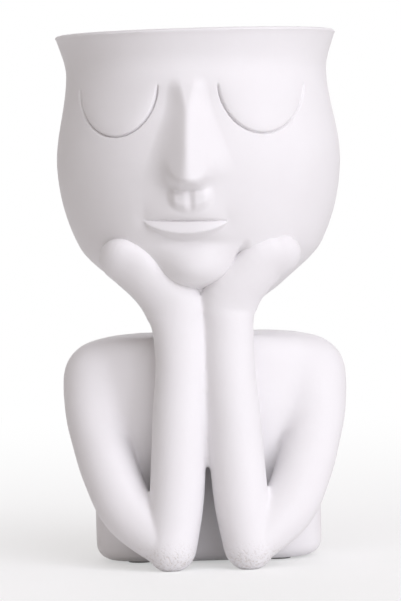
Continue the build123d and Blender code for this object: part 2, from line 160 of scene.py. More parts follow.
class PlanterHead(bpy.types.PropertyGroup):
    """Sizes of the head bowl and its face."""

    rim_width: length("Rim width", 106.0, "Width of the flared rim")
    brow_width: length("Brow width", 98.4, "Width at the hollow below the rim")
    cheek_width: length("Cheek width", 107.2, "Width at the cheeks")
    jaw_width: length("Jaw width", 91.6, "Width at the jaw")
    neck_width: length("Neck width", 36.4, "Width of the neck")
    wall: length("Wall", 5.5, "Thickness of the bowl's wall")
    turn: angle("Turn", 4, "Turn of the face to the viewer's left")
    depth_share: FloatProperty(
        name="Depth share",
        description="Depth of the head as a share of its width",
        default=0.95,
        subtype="FACTOR",
    )
    nose_reach: length("Nose reach", 11.5, "How far the nose stands out")
    upper_lip: length("Upper lip", 2.2, "How far the upper lip stands out")
    lower_lip: length("Lower lip", 3.3, "How far the lower lip stands out")
    chin_reach: length("Chin reach", 11.0, "How far the chin stands out")
    throat_reach: length("Throat reach", 34.0, "Reach of the throat that fills the notch between the wrists")
    lid_reach: length("Lid reach", 1.4, "How far the closed lids swell")
    eye_line: length("Eye line depth", 1.4, "Depth of the line under each lid")


class PlanterBody(bpy.types.PropertyGroup):
    """Sizes of the torso and the arms."""

    torso_width: length("Torso width", 86.0, "Width of the torso")
    torso_front: length("Torso front", 23.5, "Reach of the chest ahead of the head's axis")
    torso_back: length("Torso back", 32.5, "Reach of the back behind the head's axis")
    torso_wall: length("Torso wall", 6.0, "Thickness of the torso's wall")
    shoulder_width: length("Shoulder width", 108.2, "Width over both shoulders")
    shoulder_radius: length("Shoulder radius", 14.8, "Radius of the shoulder's ball")
    upper_arm_radius: length("Upper arm radius", 10.8, "Radius of the upper arm")
    forearm_radius: length("Forearm radius", 10.2, "Radius of the forearm")
    wrist_radius: length("Wrist radius", 9.4, "Radius of the wrist")
    hand_width: length("Hand width", 16.8, "Width of the flat hand")
    hand_thickness: length("Hand thickness", 12.0, "Thickness of the flat hand")
    elbow_spread: length("Elbow spread", 29.0, "Distance between the elbow tips")
    skin: length("Skin fineness", 0.7, "Edge length of the grown-together skin")


class PlanterFittings(bpy.types.PropertyGroup):
    """Sizes of the drain and its plug."""

    drain_radius: length("Drain radius", 6.0, "Radius of the drain hole and the neck's drain")
    spigot_radius: length("Spigot radius", 14.0, "Radius of the neck's spigot")
    flange_radius: length("Flange radius", 9.5, "Radius of the plug's flange")


class PlanterFinish(bpy.types.PropertyGroup):
    """Colours of the materials."""

    casting: colour("Casting", "#ECEBEC", "Unglazed white ceramic")
    casting_shade: colour("Casting shade", "#E6E4E5", "Slightly darker clouds in the ceramic")
    scuff: colour("Scuff", "#D9D4D0", "Rubbed grains at the elbow tips")
    plug: colour("Plug rubber", "#232326", "Rubber of the drain plug")
    pad: colour("Pad rubber", "#8E8D8A", "Rubber of the pads")
    floor: colour("Floor", "#FBFBFB", "Pale floor")


class PlanterStage(bpy.types.PropertyGroup):
    """Camera and lamps."""

    distance: length("Distance", 1300.0, "Camera to the head's axis")
    elevation: angle("Elevation", 2.08, "How far the camera looks down")
    roll: angle("Roll", 1.6, "Tilt of the picture")
    picture_height: length("Picture height", 228.5, "Height that the picture takes in at the head's axis")
    key: strength("Key", 1.38, "Strength of the large soft lamp at the right")
    front: strength("Front", 0.86, "Strength of the soft lamp beside the camera")
    top: strength("Top", 0.46, "Strength of the soft lamp above the front")
    back: strength("Back", 0.45, "Strength of the soft lamp behind the planter")
    fill: strength("Fill", 0.32, "Strength of the light from all round")


# Curves and shapes


def smooth_step(low, high, value):
    """0 below low, 1 above high and a smooth ramp between them."""
    share = min(1.0, max(0.0, (value - low) / (high - low)))
    return share * share * (3.0 - 2.0 * share)


def bump(value, centre, width):
    """A bell of height 1 that is down to about a seventh at half its width from the centre."""
    return math.exp(-2.0 * ((value - centre) / (width / 2.0)) ** 2)


def smooth_curve(knots, at):
    """Value at one place of a smooth curve through (place, value) knots in rising order."""
    last = len(knots) - 1
    i = 0
    while i < last - 1 and at > knots[i + 1][0]:
        i += 1

    def slope(k):
        before, after = knots[max(k - 1, 0)], knots[min(k + 1, last)]
        return (after[1] - before[1]) / (after[0] - before[0])

    (low, start), (high, end) = knots[i], knots[i + 1]
    span = high - low
    t = (at - low) / span
    rise = start * (1 + 2 * t) * (1 - t) ** 2 + slope(i) * span * t * (1 - t) ** 2
    return rise + end * t * t * (3 - 2 * t) - slope(i + 1) * span * t * t * (1 - t)


def steps(low, high, size):
    """Even places from low to high, about one size apart."""
    count = max(1, round(abs(high - low) / size))
    return [low + (high - low) * i / count for i in range(count + 1)]


def arc(centre_r, centre_z, radius, start, end, count):
    """Points of a profile on an arc between two angles in degrees."""
    angles = [math.radians(start + (end - start) * i / count) for i in range(count + 1)]
    return [(centre_r + radius * math.cos(a), centre_z + radius * math.sin(a)) for a in angles]


# Modelling tools


def name_new(name):
    """Names the piece that was just added."""
    piece = bpy.context.object
    piece.name = name
    return piece


def select_only(piece):
    """Selects one piece, makes it active and deselects the rest."""
    bpy.ops.object.select_all(action="DESELECT")
    bpy.context.view_layer.objects.active = piece
    piece.select_set(True)


def edit(piece, select_mode="FACE"):
    """Opens a piece's mesh in edit mode with nothing selected."""
    select_only(piece)
    bpy.ops.object.mode_set(mode="EDIT")
    bpy.ops.mesh.select_mode(type=select_mode)
    bpy.ops.mesh.select_all(action="DESELECT")
    return bmesh.from_edit_mesh(piece.data)


def close_edit(piece):
    """Leaves edit mode."""
    bpy.ops.object.mode_set(mode="OBJECT")
    return piece


def lathe(name, profile, columns):
    """Spins a closed profile of (radius, height) points round the upright axis."""
    bpy.ops.mesh.primitive_circle_add(vertices=len(profile), radius=0.01, fill_type="NOTHING")
    piece = name_new(name)
    for vertex, (radius, z) in zip(piece.data.vertices, profile):
        vertex.co = (0.0, -radius, z)
    edit(piece, "VERT")
    bpy.ops.mesh.select_all(action="SELECT")
    bpy.ops.mesh.spin(
        steps=columns, angle=math.tau, center=(0, 0, 0), axis=(0, 0, 1), use_auto_merge=True
    )
    bpy.ops.mesh.select_all(action="SELECT")
    bpy.ops.mesh.remove_doubles(threshold=0.00002)
    bpy.ops.mesh.normals_make_consistent(inside=False)
    return close_edit(piece)


def ringed_form(name, rings):
    """A closed form through rings of points: a cylinder cut into as many rings, each put in its place."""
    sides, last = len(rings[0]), len(rings) - 1
    bpy.ops.mesh.primitive_cylinder_add(vertices=sides, radius=1, depth=1, end_fill_type="NGON")
    piece = name_new(name)
    mesh = edit(piece, "EDGE")
    for edge in mesh.edges:
        edge.select = abs(edge.verts[0].co.z - edge.verts[1].co.z) > 0.5
    bmesh.update_edit_mesh(piece.data)
    bpy.ops.mesh.subdivide(number_cuts=last - 1)
    mesh = bmesh.from_edit_mesh(piece.data)
    for vertex in mesh.verts:
        row = round((vertex.co.z + 0.5) * last)
        column = round(math.atan2(vertex.co.y, vertex.co.x) / math.tau * sides) % sides
        vertex.co = rings[row][column]
    bmesh.update_edit_mesh(piece.data)
    bpy.ops.mesh.select_all(action="SELECT")
    bpy.ops.mesh.normals_make_consistent(inside=False)
    return close_edit(piece)


def apply_modifier(piece, kind, **settings):
    """Adds a modifier with its settings and applies it."""
    select_only(piece)
    bpy.ops.object.modifier_add(type=kind)
    modifier = piece.modifiers[-1]
    for key, value in settings.items():
        setattr(modifier, key, value)
    bpy.ops.object.modifier_apply(modifier=modifier.name)


def cut(piece, cutter):
    """Cuts a form out of a piece and removes the form."""
    apply_modifier(piece, "BOOLEAN", operation="DIFFERENCE", object=cutter, solver="EXACT")
    bpy.data.objects.remove(cutter)


def smooth_shading(piece, degrees):
    """Shades a piece smooth apart from edges sharper than an angle."""
    select_only(piece)
    bpy.ops.object.shade_smooth_by_angle(angle=math.radians(degrees))


def finish_piece(piece, material, slot, *nodes):
    """Gives a piece its material, lets it stand for its nodes and ride on their body."""
    piece.data.materials.clear()
    piece.data.materials.append(material)
    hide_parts(*nodes)
    bodies = frame["record"]["behaviour"]["bodies"]
    body = next(name for name, members in bodies.items() if nodes[0] in members)
    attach(piece, body)


# Materials


def add_node(tree, kind, settings=None, links=None, **options):
    """Adds a node with its options, its sockets' values and its links from other nodes' outputs."""
    made = tree.nodes.new(kind)
    for key, value in options.items():
        setattr(made, key, value)
    for socket, value in (settings or {}).items():
        made.inputs[socket].default_value = value
    for socket, (source, output) in (links or {}).items():
        tree.links.new(source.outputs[output], made.inputs[socket])
    return made


def per_metre(millimetres):
    """Pattern scale at which one cell is about this wide."""
    return 1.0 / (millimetres * MM)


def start_material(name):
    """An empty node material with its output and Object coordinates."""
    material = bpy.data.materials.get(name)
    if material:
        return material, None, None, None
    material = bpy.data.materials.new(name)
    material.use_nodes = True
    tree = material.node_tree
    tree.nodes.clear()
    output = add_node(tree, "ShaderNodeOutputMaterial")
    place = add_node(tree, "ShaderNodeTexCoord")
    return material, tree, output, place


def unglazed_ceramic(finish):
    """White bisque ceramic, cast, sanded and left unglazed: matte, with faint clouds and a fine grain.

    The elbow tips are rubbed, so grains show there.
    """
    material, tree, output, place = start_material("unglazed_white_ceramic")
    if tree is None:
        return material
    here = {"Vector": (place, "Object")}
    # Clouds of slip about 22 mm wide, very faint
    clouds = add_node(tree, "ShaderNodeTexNoise",
                      {"Scale": per_metre(22), "Detail": 3.0, "Roughness": 0.55}, here)
    cloud_mix = add_node(tree, "ShaderNodeMix", {"A": finish.casting, "B": finish.casting_shade},
                         {"Factor": (clouds, "Fac")}, data_type="RGBA")
    # Rubbed grains about 0.9 mm wide, drawn that coarse so that they show, only low down at the elbow tips
    split = add_node(tree, "ShaderNodeSeparateXYZ", None, here)
    low = add_node(tree, "ShaderNodeMapRange", {"From Min": 13 * MM, "From Max": 1 * MM},
                   {"Value": (split, "Z")}, interpolation_type="SMOOTHSTEP")
    ahead = add_node(tree, "ShaderNodeMapRange", {"From Min": -24 * MM, "From Max": -30 * MM},
                     {"Value": (split, "Y")}, interpolation_type="SMOOTHSTEP")
    tip = add_node(tree, "ShaderNodeMath", None, {0: (low, "Result"), 1: (ahead, "Result")},
                   operation="MULTIPLY")
    grains = add_node(tree, "ShaderNodeTexNoise",
                      {"Scale": per_metre(0.9), "Detail": 2.0, "Roughness": 0.6}, here)
    grain_spots = add_node(tree, "ShaderNodeMapRange", {"From Min": 0.5, "From Max": 0.66},
                           {"Value": (grains, "Fac")})
    rubbed = add_node(tree, "ShaderNodeMath", None, {0: (grain_spots, "Result"), 1: (tip, "Value")},
                      operation="MULTIPLY")
    tone = add_node(tree, "ShaderNodeMix", {"B": finish.scuff},
                    {"Factor": (rubbed, "Value"), "A": (cloud_mix, "Result")}, data_type="RGBA")
    # Sanding: swells about 7 mm wide under a grain about 0.5 mm wide
    swells = add_node(tree, "ShaderNodeTexNoise", {"Scale": per_metre(7), "Detail": 2.0}, here)
    grit = add_node(tree, "ShaderNodeTexNoise",
                    {"Scale": per_metre(0.5), "Detail": 3.0, "Roughness": 0.7}, here)
    swell_bump = add_node(tree, "ShaderNodeBump", {"Strength": 0.25, "Distance": 0.3 * MM},
                          {"Height": (swells, "Fac")})
    grit_bump = add_node(tree, "ShaderNodeBump", {"Strength": 0.35, "Distance": 0.06 * MM},
                         {"Height": (grit, "Fac"), "Normal": (swell_bump, "Normal")})
    tip_bump = add_node(tree, "ShaderNodeBump", {"Strength": 0.6, "Distance": 0.35 * MM},
                        {"Height": (rubbed, "Value"), "Normal": (grit_bump, "Normal")}, invert=True)
    roughness = add_node(tree, "ShaderNodeMapRange",
                         {"From Min": 0.3, "From Max": 0.7, "To Min": 0.58, "To Max": 0.7},
                         {"Value": (grit, "Fac")})
    shader = add_node(tree, "ShaderNodeBsdfPrincipled", {"IOR": 1.5, "Specular IOR Level": 0.35},
                      {"Base Color": (tone, "Result"), "Roughness": (roughness, "Result"),
                       "Normal": (tip_bump, "Normal")})
    tree.links.new(shader.outputs["BSDF"], output.inputs["Surface"])
    return material


def moulded_rubber(name, shade):
    """Moulded rubber: soft sheen, fine mould texture and a little bloom where it was handled."""
    material, tree, output, place = start_material(name)
    if tree is None:
        return material
    here = {"Vector": (place, "Object")}
    # Bloom in patches about 4 mm wide, over a mould texture about 0.35 mm wide
    bloom = add_node(tree, "ShaderNodeTexNoise", {"Scale": per_metre(4), "Detail": 3.0}, here)
    paler = tuple(min(1.0, c * 1.25 + 0.01) for c in shade[:3]) + (1.0,)
    tone = add_node(tree, "ShaderNodeMix", {"A": shade, "B": paler}, {"Factor": (bloom, "Fac")},
                    data_type="RGBA")
    texture = add_node(tree, "ShaderNodeTexNoise", {"Scale": per_metre(0.35), "Detail": 2.0}, here)
    relief = add_node(tree, "ShaderNodeBump", {"Strength": 0.3, "Distance": 0.04 * MM},
                      {"Height": (texture, "Fac")})
    roughness = add_node(tree, "ShaderNodeMapRange",
                         {"From Min": 0.3, "From Max": 0.7, "To Min": 0.5, "To Max": 0.68},
                         {"Value": (bloom, "Fac")})
    shader = add_node(tree, "ShaderNodeBsdfPrincipled", {"IOR": 1.52},
                      {"Base Color": (tone, "Result"), "Roughness": (roughness, "Result"),
                       "Normal": (relief, "Normal")})
    tree.links.new(shader.outputs["BSDF"], output.inputs["Surface"])
    return material


def seen_rays(tree):
    """1 for the rays of the camera, of gloss and of glass, and 0 for the rays that light the planter."""
    path = add_node(tree, "ShaderNodeLightPath")
    seen = add_node(tree, "ShaderNodeMath", None, {0: (path, "Is Camera Ray"), 1: (path, "Is Glossy Ray")},
                    operation="MAXIMUM")
    return add_node(tree, "ShaderNodeMath", None, {0: (seen, "Value"), 1: (path, "Is Transmission Ray")},
                    operation="MAXIMUM")


def pale_floor(finish):
    """Plain matte floor that takes the planter's shadow and is seen to run out into the white surround."""
    material, tree, output, place = start_material("pale_floor")
    if tree is None:
        return material
    shader = add_node(tree, "ShaderNodeBsdfPrincipled", {"Base Color": finish.floor, "Roughness": 0.9})
    away = add_node(tree, "ShaderNodeVectorMath", None, {0: (place, "Object")}, operation="LENGTH")
    # Already part white under the planter, and all white 0.8 m away
    far = add_node(tree, "ShaderNodeMapRange", {"From Min": -0.7, "From Max": 0.8},
                   {"Value": (away, "Value")}, interpolation_type="SMOOTHSTEP")
    shown = add_node(tree, "ShaderNodeMath", None, {0: (far, "Result"), 1: (seen_rays(tree), "Value")},
                     operation="MULTIPLY")
    white = add_node(tree, "ShaderNodeEmission", {"Color": (1, 1, 1, 1), "Strength": 1.0})
    mix = add_node(tree, "ShaderNodeMixShader", None, {"Fac": (shown, "Value")})
    tree.links.new(shader.outputs["BSDF"], mix.inputs[1])
    tree.links.new(white.outputs["Emission"], mix.inputs[2])
    tree.links.new(mix.outputs["Shader"], output.inputs["Surface"])
    return material


# Head


def head_half_width(head, z):
    """Half of the plain head's width at a height, from the neck's foot to the rim."""
    neck, jaw = head.neck_width / 2, head.jaw_width / 2
    under_jaw_z = NECK_TOP_Z + 0.4 * (JAW_Z - NECK_TOP_Z)
    knots = [
        (SHOULDER_Z, neck),
        (NECK_TOP_Z, neck),
        (under_jaw_z, neck + 0.45 * (jaw - neck)),
        (JAW_Z, jaw),
        (CHEEK_Z, head.cheek_width / 2),
        (BROW_Z, head.brow_width / 2),
        (RIM_Z, head.rim_width / 2),
    ]
    return smooth_curve(knots, z)


def plan_share(head, angle):
    """Reach of the head's outline at an angle from the face's direction, as a share of its half width."""
    squareness = 2.15
    side, front = abs(math.sin(angle)), abs(math.cos(angle)) / head.depth_share
    return (side**squareness + front**squareness) ** (-1 / squareness)


def nose(x, z):
    """Share of the nose's reach: a round ridge, flat sides that widen downwards and a rounded underside."""
    down = min(1.0, max(0.0, (NOSE_TOP - z) / NOSE_HEIGHT))
    ridge = 2.2 * smooth_step(0.4, 0.0, down)
    spread = 2.5 + 14.5 * down
    round_off = 1.5 + 0.8 * smooth_step(0.75, 1.0, down)
    away = (math.hypot(max(0.0, abs(x) - ridge), round_off) - round_off) / spread
    side = max(0.0, 1.0 - away) ** 1.7
    # The underside is short and steep at the tip, and long and soft below the sides
    foot = NOSE_FOOT + 0.012 * x * x
    fall = 2.2 + 5.4 * smooth_step(2.5, 11.0, abs(x))
    underside = 1.0 - math.exp(-((max(0.0, z - foot) / fall) ** 2))
    return down**0.85 * smooth_step(0.0, 0.15, down) * side * underside


def mouth_line(x):
    """Height of the closed mouth's line."""
    return MOUTH_Z - MOUTH_SLOPE * x


def lips(head, x, z):
    """The upper lip leans in to the mouth's line and the lower lip swells out below it."""
    across = max(0.0, 1.0 - ((x - MOUTH_X) / LIP_HALF_WIDTH) ** 2)
    rise = z - mouth_line(x)
    if rise >= 0.0:
        share = rise / UPPER_LIP_HEIGHT
        lean, run_out = 1.0 - math.exp(-2.2 * share), math.exp(-((share / 3.0) ** 2))
        return head.upper_lip * across**1.6 * lean * run_out
    drop = -rise / (LOWER_LIP_HEIGHT * (0.1 + 0.9 * across))
    return head.lower_lip * across**0.8 * min(1.0, drop / 0.8) ** 0.9 * smooth_step(1.4, 0.75, drop)


def chin(x, z):
    """Share of the chin's reach: a full round with a clear lower edge that rises to both sides."""
    edge = CHIN_EDGE + 0.04 * x * x
    width = CHIN_WIDTH + 3.0 * smooth_step(0.0, 8.0, x)
    return bump(x, 0.0, width) * smooth_step(edge - 2.5, edge + 2.5, z) * smooth_step(123.0, 108.0, z)


def hand_crease(x, z):
    """1 along the deep crease where the chin meets the edge of the right hand, running out at its ends."""
    side, rise = math.sin(CREASE_LEAN), math.cos(CREASE_LEAN)
    across = rise * (x - CREASE_X) - side * (z - CREASE_Z)
    along = side * (x - CREASE_X) + rise * (z - CREASE_Z)
    run_out = smooth_step(-10.0, -6.0, along) * smooth_step(12.0, 4.0, along)
    return math.exp(-((across / CREASE_WIDTH) ** 2)) * run_out


def throat(head, x, z):
    """The casting fills the notch between the wrists below the chin."""
    gap = max(0.0, head.throat_reach - head_half_width(head, z * MM) * head.depth_share)
    return gap * bump(x, THROAT_X, THROAT_WIDTH) * smooth_step(87.5, 92.5, z)


def eye_distance(x, z):
    """How far a place lies above and inside the nearer eye's hanging line, negative below and outside it."""
    across = (abs(x) - EYE_X - 0.075 * (178.5 - z)) / EYE_HALF_WIDTH
    rise = (z - EYE_Z) / EYE_DROP
    reach = math.hypot(across, rise)
    grade = math.hypot(across / EYE_HALF_WIDTH, rise / EYE_DROP) / max(reach, 1e-6)
    return (1.0 - reach) / max(grade, 1e-6)


def eye_line_share(x, z):
    """1 along the eye's line, running out at its two upper ends."""
    return smooth_step(EYE_Z, EYE_Z - 2.5, z) * math.exp(-((eye_distance(x, z) / EYE_LINE_WIDTH) ** 2))


def face_relief(head, x, z):
    """How far the face stands out of the plain head, at a place across and up the face."""
    x, z = x / MM, z / MM
    line = mouth_line(x)
    corner = max(0.0, 1.0 - ((x - MOUTH_X) / MOUTH_HALF_WIDTH) ** 2)
    out = head.nose_reach * nose(x, z) + lips(head, x, z)
    out += max(head.chin_reach * chin(x, z), throat(head, x, z))
    # The mouth's line, the dimples at its corners and the hollow under the lower lip
    millimetres = -MOUTH_LINE_DEPTH * corner**0.3 * math.exp(-(((z - line) / MOUTH_LINE_WIDTH) ** 2))
    millimetres -= 0.35 * bump(abs(x - MOUTH_X), 16.0, 8.0) * bump(z, line, 9.0)
    millimetres -= 1.2 * bump(x, 0.0, 26.0) * bump(z, line - 8.0, 6.0)
    millimetres -= CREASE_DEPTH * hand_crease(x, z)
    # The two cushions between the nose and the upper lip, with a shallow channel between them
    cushions = smooth_step(8.8, 4.8, abs(x)) * (0.55 + 0.45 * smooth_step(0.0, 2.2, abs(x)))
    foot = CUSHION_FOOT + 0.05 * x * x
    millimetres += CUSHION_REACH * cushions * smooth_step(foot, foot + 4.0, z) * smooth_step(144.0, 138.5, z)
    millimetres += BROW_REACH * bump(x, 0.0, 98.4) * bump(z, BROW_MIDDLE, 18.0)
    inside = eye_distance(x, z)
    lid = 0.0
    if inside > 0.0 and z < LID_TOP:
        lid = (1.0 - math.exp(-inside / 2.2)) * smooth_step(LID_TOP, LID_TOP - 12.0, z)
    out += head.lid_reach * lid - head.eye_line * eye_line_share(x, z)
    return out + millimetres * MM


def head_radius(head, angle, z):
    """Reach of the head's outside from its axis, at an angle from the face's direction and a height."""
    radius = head_half_width(head, z) * plan_share(head, angle)
    if math.cos(angle) > 0.0:
        radius += face_relief(head, radius * math.sin(angle), z) * math.cos(angle)
    return radius


def head_profile(head, fittings):
    """The head's closed profile: outside, rim, inside, floor, drain and spigot."""
    foot = SHOULDER_Z + 0.2 * MM
    half_rim, round_off = head.rim_width / 2, 1.2 * MM
    inner_rim = half_rim - head.wall
    spigot_foot = SHOULDER_Z - 10 * MM
    outside = [(head_half_width(head, z), z) for z in steps(foot, RIM_Z - 1.6 * MM, 1.7 * MM)]
    rim = arc(half_rim - round_off, RIM_Z - round_off, round_off, 10, 90, 6)
    rim += arc(inner_rim + round_off, RIM_Z - round_off, round_off, 90, 175, 6)
    inside = []
    for z in steps(RIM_Z - 3 * MM, BOWL_FLOOR_Z + 1.5 * MM, 2.6 * MM):
        rise = 5.0 * MM * (1.0 - smooth_step(BOWL_FLOOR_Z, CHEEK_Z, z))
        inside.append((head_half_width(head, z - rise) - head.wall, z))
    floor_edge = inside[-1][0]
    floor = [(floor_edge - 1.5 * MM, BOWL_FLOOR_Z + 0.3 * MM)]
    bore, outer = fittings.drain_radius, fittings.spigot_radius
    mouth_chamfer, foot_chamfer = 0.8 * MM, 0.5 * MM
    floor += [(r, BOWL_FLOOR_Z) for r in steps(floor_edge - 3.5 * MM, bore + mouth_chamfer, 2.5 * MM)]
    drain = [(bore, z) for z in steps(BOWL_FLOOR_Z - mouth_chamfer, spigot_foot + foot_chamfer, 5 * MM)]
    spigot = [(bore + foot_chamfer, spigot_foot), (outer - foot_chamfer, spigot_foot)]
    spigot += [(outer, z) for z in steps(spigot_foot + foot_chamfer, foot, 3 * MM)]
    return outside + rim + inside + floor + drain + spigot


def refine_face(head, piece):
    """Divides the head's skin more finely over the face, its features and its cut lines."""

    def whole_face(x, z):
        return abs(x) < 47 and 100 < z < 192

    def features(x, z):
        on_nose = abs(x) < 19 and 137 < z < 187
        on_mouth = abs(x) < 22 and 103 < z < 141
        on_eye = -3 < eye_distance(x, z) < 9 and z < 184
        return on_nose or on_mouth or on_eye

    def cut_lines(x, z):
        on_eye = abs(eye_distance(x, z)) < 1.7 and z < 182
        return on_eye or (abs(x) < 17 and abs(z - mouth_line(x)) < 1.6)

    for wanted in (whole_face, features, cut_lines):
        mesh = edit(piece, "FACE")
        for face in mesh.faces:
            spot = face.calc_center_median()
            radius = math.hypot(spot.x, spot.y)
            outer = radius > head_half_width(head, max(spot.z, SHOULDER_Z)) - 0.4 * head.wall
            face.select = outer and spot.y < 0 and wanted(spot.x / MM, spot.z / MM)
        bmesh.update_edit_mesh(piece.data)
        bpy.ops.mesh.subdivide(number_cuts=1)
        close_edit(piece)


def shape_head(head, piece):
    """Brings the round lathe form to the head's plan, raises the face and turns the head."""
    for vertex in piece.data.vertices:
        x, y, z = vertex.co
        radius, angle = math.hypot(x, y), math.atan2(x, -y)
        if radius > 15 * MM and z > SHOULDER_Z:
            outer = radius > head_half_width(head, min(z, RIM_Z)) - 0.4 * head.wall and z < RIM_Z - 2 * MM
            radius = head_radius(head, angle, z) if outer else radius * plan_share(head, angle)
        turned = angle - head.turn
        vertex.co = (radius * math.sin(turned), AXIS_Y - radius * math.cos(turned), z)


class PLANTER_OT_head(bpy.types.Operator):
    """Turns the head bowl, raises its face and cuts its closed eyes"""

    bl_idname = "planter.head"
    bl_label = "Head bowl"

    def execute(self, context):
        scene = context.scene
        head = scene.planter_head
        piece = lathe("head_bowl_skin", head_profile(head, scene.planter_fittings), 192)
        refine_face(head, piece)
        shape_head(head, piece)
        smooth_shading(piece, 50)
        finish_piece(piece, unglazed_ceramic(scene.planter_finish), "white_casting", "head_bowl")
        return {"FINISHED"}


# Torso and arms


def torso_stations(body, inset):
    """(height, half width, front, back) of the torso's outlines, drawn in by an inset."""
    half, front, back = body.torso_width / 2, body.torso_front, body.torso_back
    tall = SHOULDER_Z - BASE_Z
    base_round, tuck, shoulder_round = 6.0 * MM, 5.5 * MM, 8.0 * MM
    shape = []
    for degrees in (15, 30, 45, 60, 75, 90):
        turn = math.radians(degrees)
        rise = base_round * (math.cos(math.radians(15)) - math.cos(turn))
        draw = base_round * (1.0 - math.sin(turn))
        shape.append((BASE_Z + rise, half - draw, front - tuck - draw, back - draw))
    shape += [
        (BASE_Z + 0.28 * tall, half, front - 0.7 * tuck, back),
        (BASE_Z + 0.52 * tall, half, front - 0.3 * tuck, back - 1.0 * MM),
        (BASE_Z + 0.72 * tall, half + 0.5 * MM, front, back - 3.0 * MM),
    ]
    for degrees in (90, 72, 54, 36, 20):
        turn = math.radians(degrees)
        rise = shoulder_round * math.cos(turn) / math.cos(math.radians(20))
        draw = shoulder_round * (1.0 - math.sin(turn))
        z = SHOULDER_Z - shoulder_round + rise
        shape.append((z, half + 0.5 * MM - draw, front - 0.5 * MM - 0.7 * draw, back - 4.5 * MM - 0.8 * draw))
    return [(z, w - inset, f - inset, b - inset) for z, w, f, b in shape]


def torso_outline(stations, z):
    """(half width, front, back) of the torso at a height."""
    z = min(max(z, stations[0][0]), stations[-1][0])
    return [smooth_curve([(s[0], s[i]) for s in stations], z) for i in (1, 2, 3)]


def torso_rings(stations, heights, sides=72):
    """Rings of points round the torso's rounded box."""
    rings = []
    for z in heights:
        half_width, front, back = torso_outline(stations, z)
        half_depth, middle = (front + back) / 2, (back - front) / 2
        ring = []
        for i in range(sides):
            angle = math.tau * i / sides
            side, ahead = math.cos(angle), math.sin(angle)
            reach = (abs(side) / half_width) ** 3 + (abs(ahead) / half_depth) ** 3
            radius = reach ** (-1 / 3)
            ring.append((radius * side, AXIS_Y + middle + radius * ahead, z))
        rings.append(ring)
    return rings


def upper_arm_controls(body, side):
    """(x, y, z, half width, half thickness) from the shoulder's ball to the elbow, about the head's axis."""
    reach = body.shoulder_width / 2 / MM
    ball, r = body.shoulder_radius / MM, body.upper_arm_radius / MM
    elbow = side * 0.3 + body.elbow_spread / 2 / MM
    return [
        (side * (reach - ball), -3.0, 85.5 - ball, ball, ball),
        (side * (reach - r - 3.7), -4.2, 67.9, r + 3.7, r + 3.7),
        (side * (reach - r - 2.8), -7.0, 62.2, r + 2.7, r + 2.7),
        (side * (reach - r - 2.5), -10.6, 55.2, r + 1.3, r + 1.3),
        (side * (reach - r - 3.4), -14.9, 48.4, r + 0.1, r + 0.1),
        (side * (reach - r - 7.0), -22.5, 36.1, r - 0.2, r - 0.2),
        (side * (reach - r - 14.0), -29.5, 21.6, r - 0.5, r - 0.5),
        (side * elbow, -36.0, 8.9, r - 1.8, r - 1.8),
    ]


def forearm_controls(body, side):
    """(x, y, z, half width, half thickness) from the elbow to the finger tips, about the head's axis."""
    r, wrist = body.forearm_radius / MM, body.wrist_radius / MM
    w, t = body.hand_width / 2 / MM, body.hand_thickness / 2 / MM
    tip = 124.2 - w
    # The viewer's right hand lies flatter on the cheek and shows wider
    flat = max(0, side)
    profile = [
        (body.elbow_spread / 2 / MM, -36.0, 8.9, r - 0.6, r - 0.6),
        (r + 2.0, -35.0, 24.0, r - 0.1, r - 0.1),
        (r + 0.7, -33.5, 40.0, r, r),
        (r - 0.2, -32.5, 58.0, r - 0.2, r - 0.2),
        (wrist - 0.6, -31.5, 74.0, wrist + 0.3, wrist),
        (wrist - 0.6, -31.0, 84.0, wrist + 0.4, wrist - 0.6),
        (wrist - 0.3, -30.8, 91.0, wrist + 0.5, wrist - 0.8),
        (wrist + 0.6 - 0.6 * flat, -30.9, 96.9 + 0.3 * flat, w + 2.4 + 0.6 * flat, t + 2.2),
        (wrist + 4.0 - 0.9 * flat, -31.1 - 1.6 * flat, 102.2 + 0.8 * flat, w + 1.8 + 1.2 * flat, t + 1.4),
        (wrist + 9.7 - 1.0 * flat, -31.7 - 2.2 * flat, 107.7 + 0.9 * flat, w + 0.7 + 1.3 * flat, t + 0.6),
        (wrist + 15.7 - 0.9 * flat, -32.3 - 1.2 * flat, 113.1 + 0.8 * flat, w + 1.1 + 1.2 * flat, t + 0.2),
        (wrist + 19.9, -32.4, tip, w + 0.5, t),
    ]
    # Both hands lean to the viewer's left and still meet in the middle
    shifts = [0.7 * smooth_step(80.0, 104.0, row[2]) for row in profile]
    return [(0.3 - s + side * x, y, z, a - side * s, b) for s, (x, y, z, a, b) in zip(shifts, profile)]


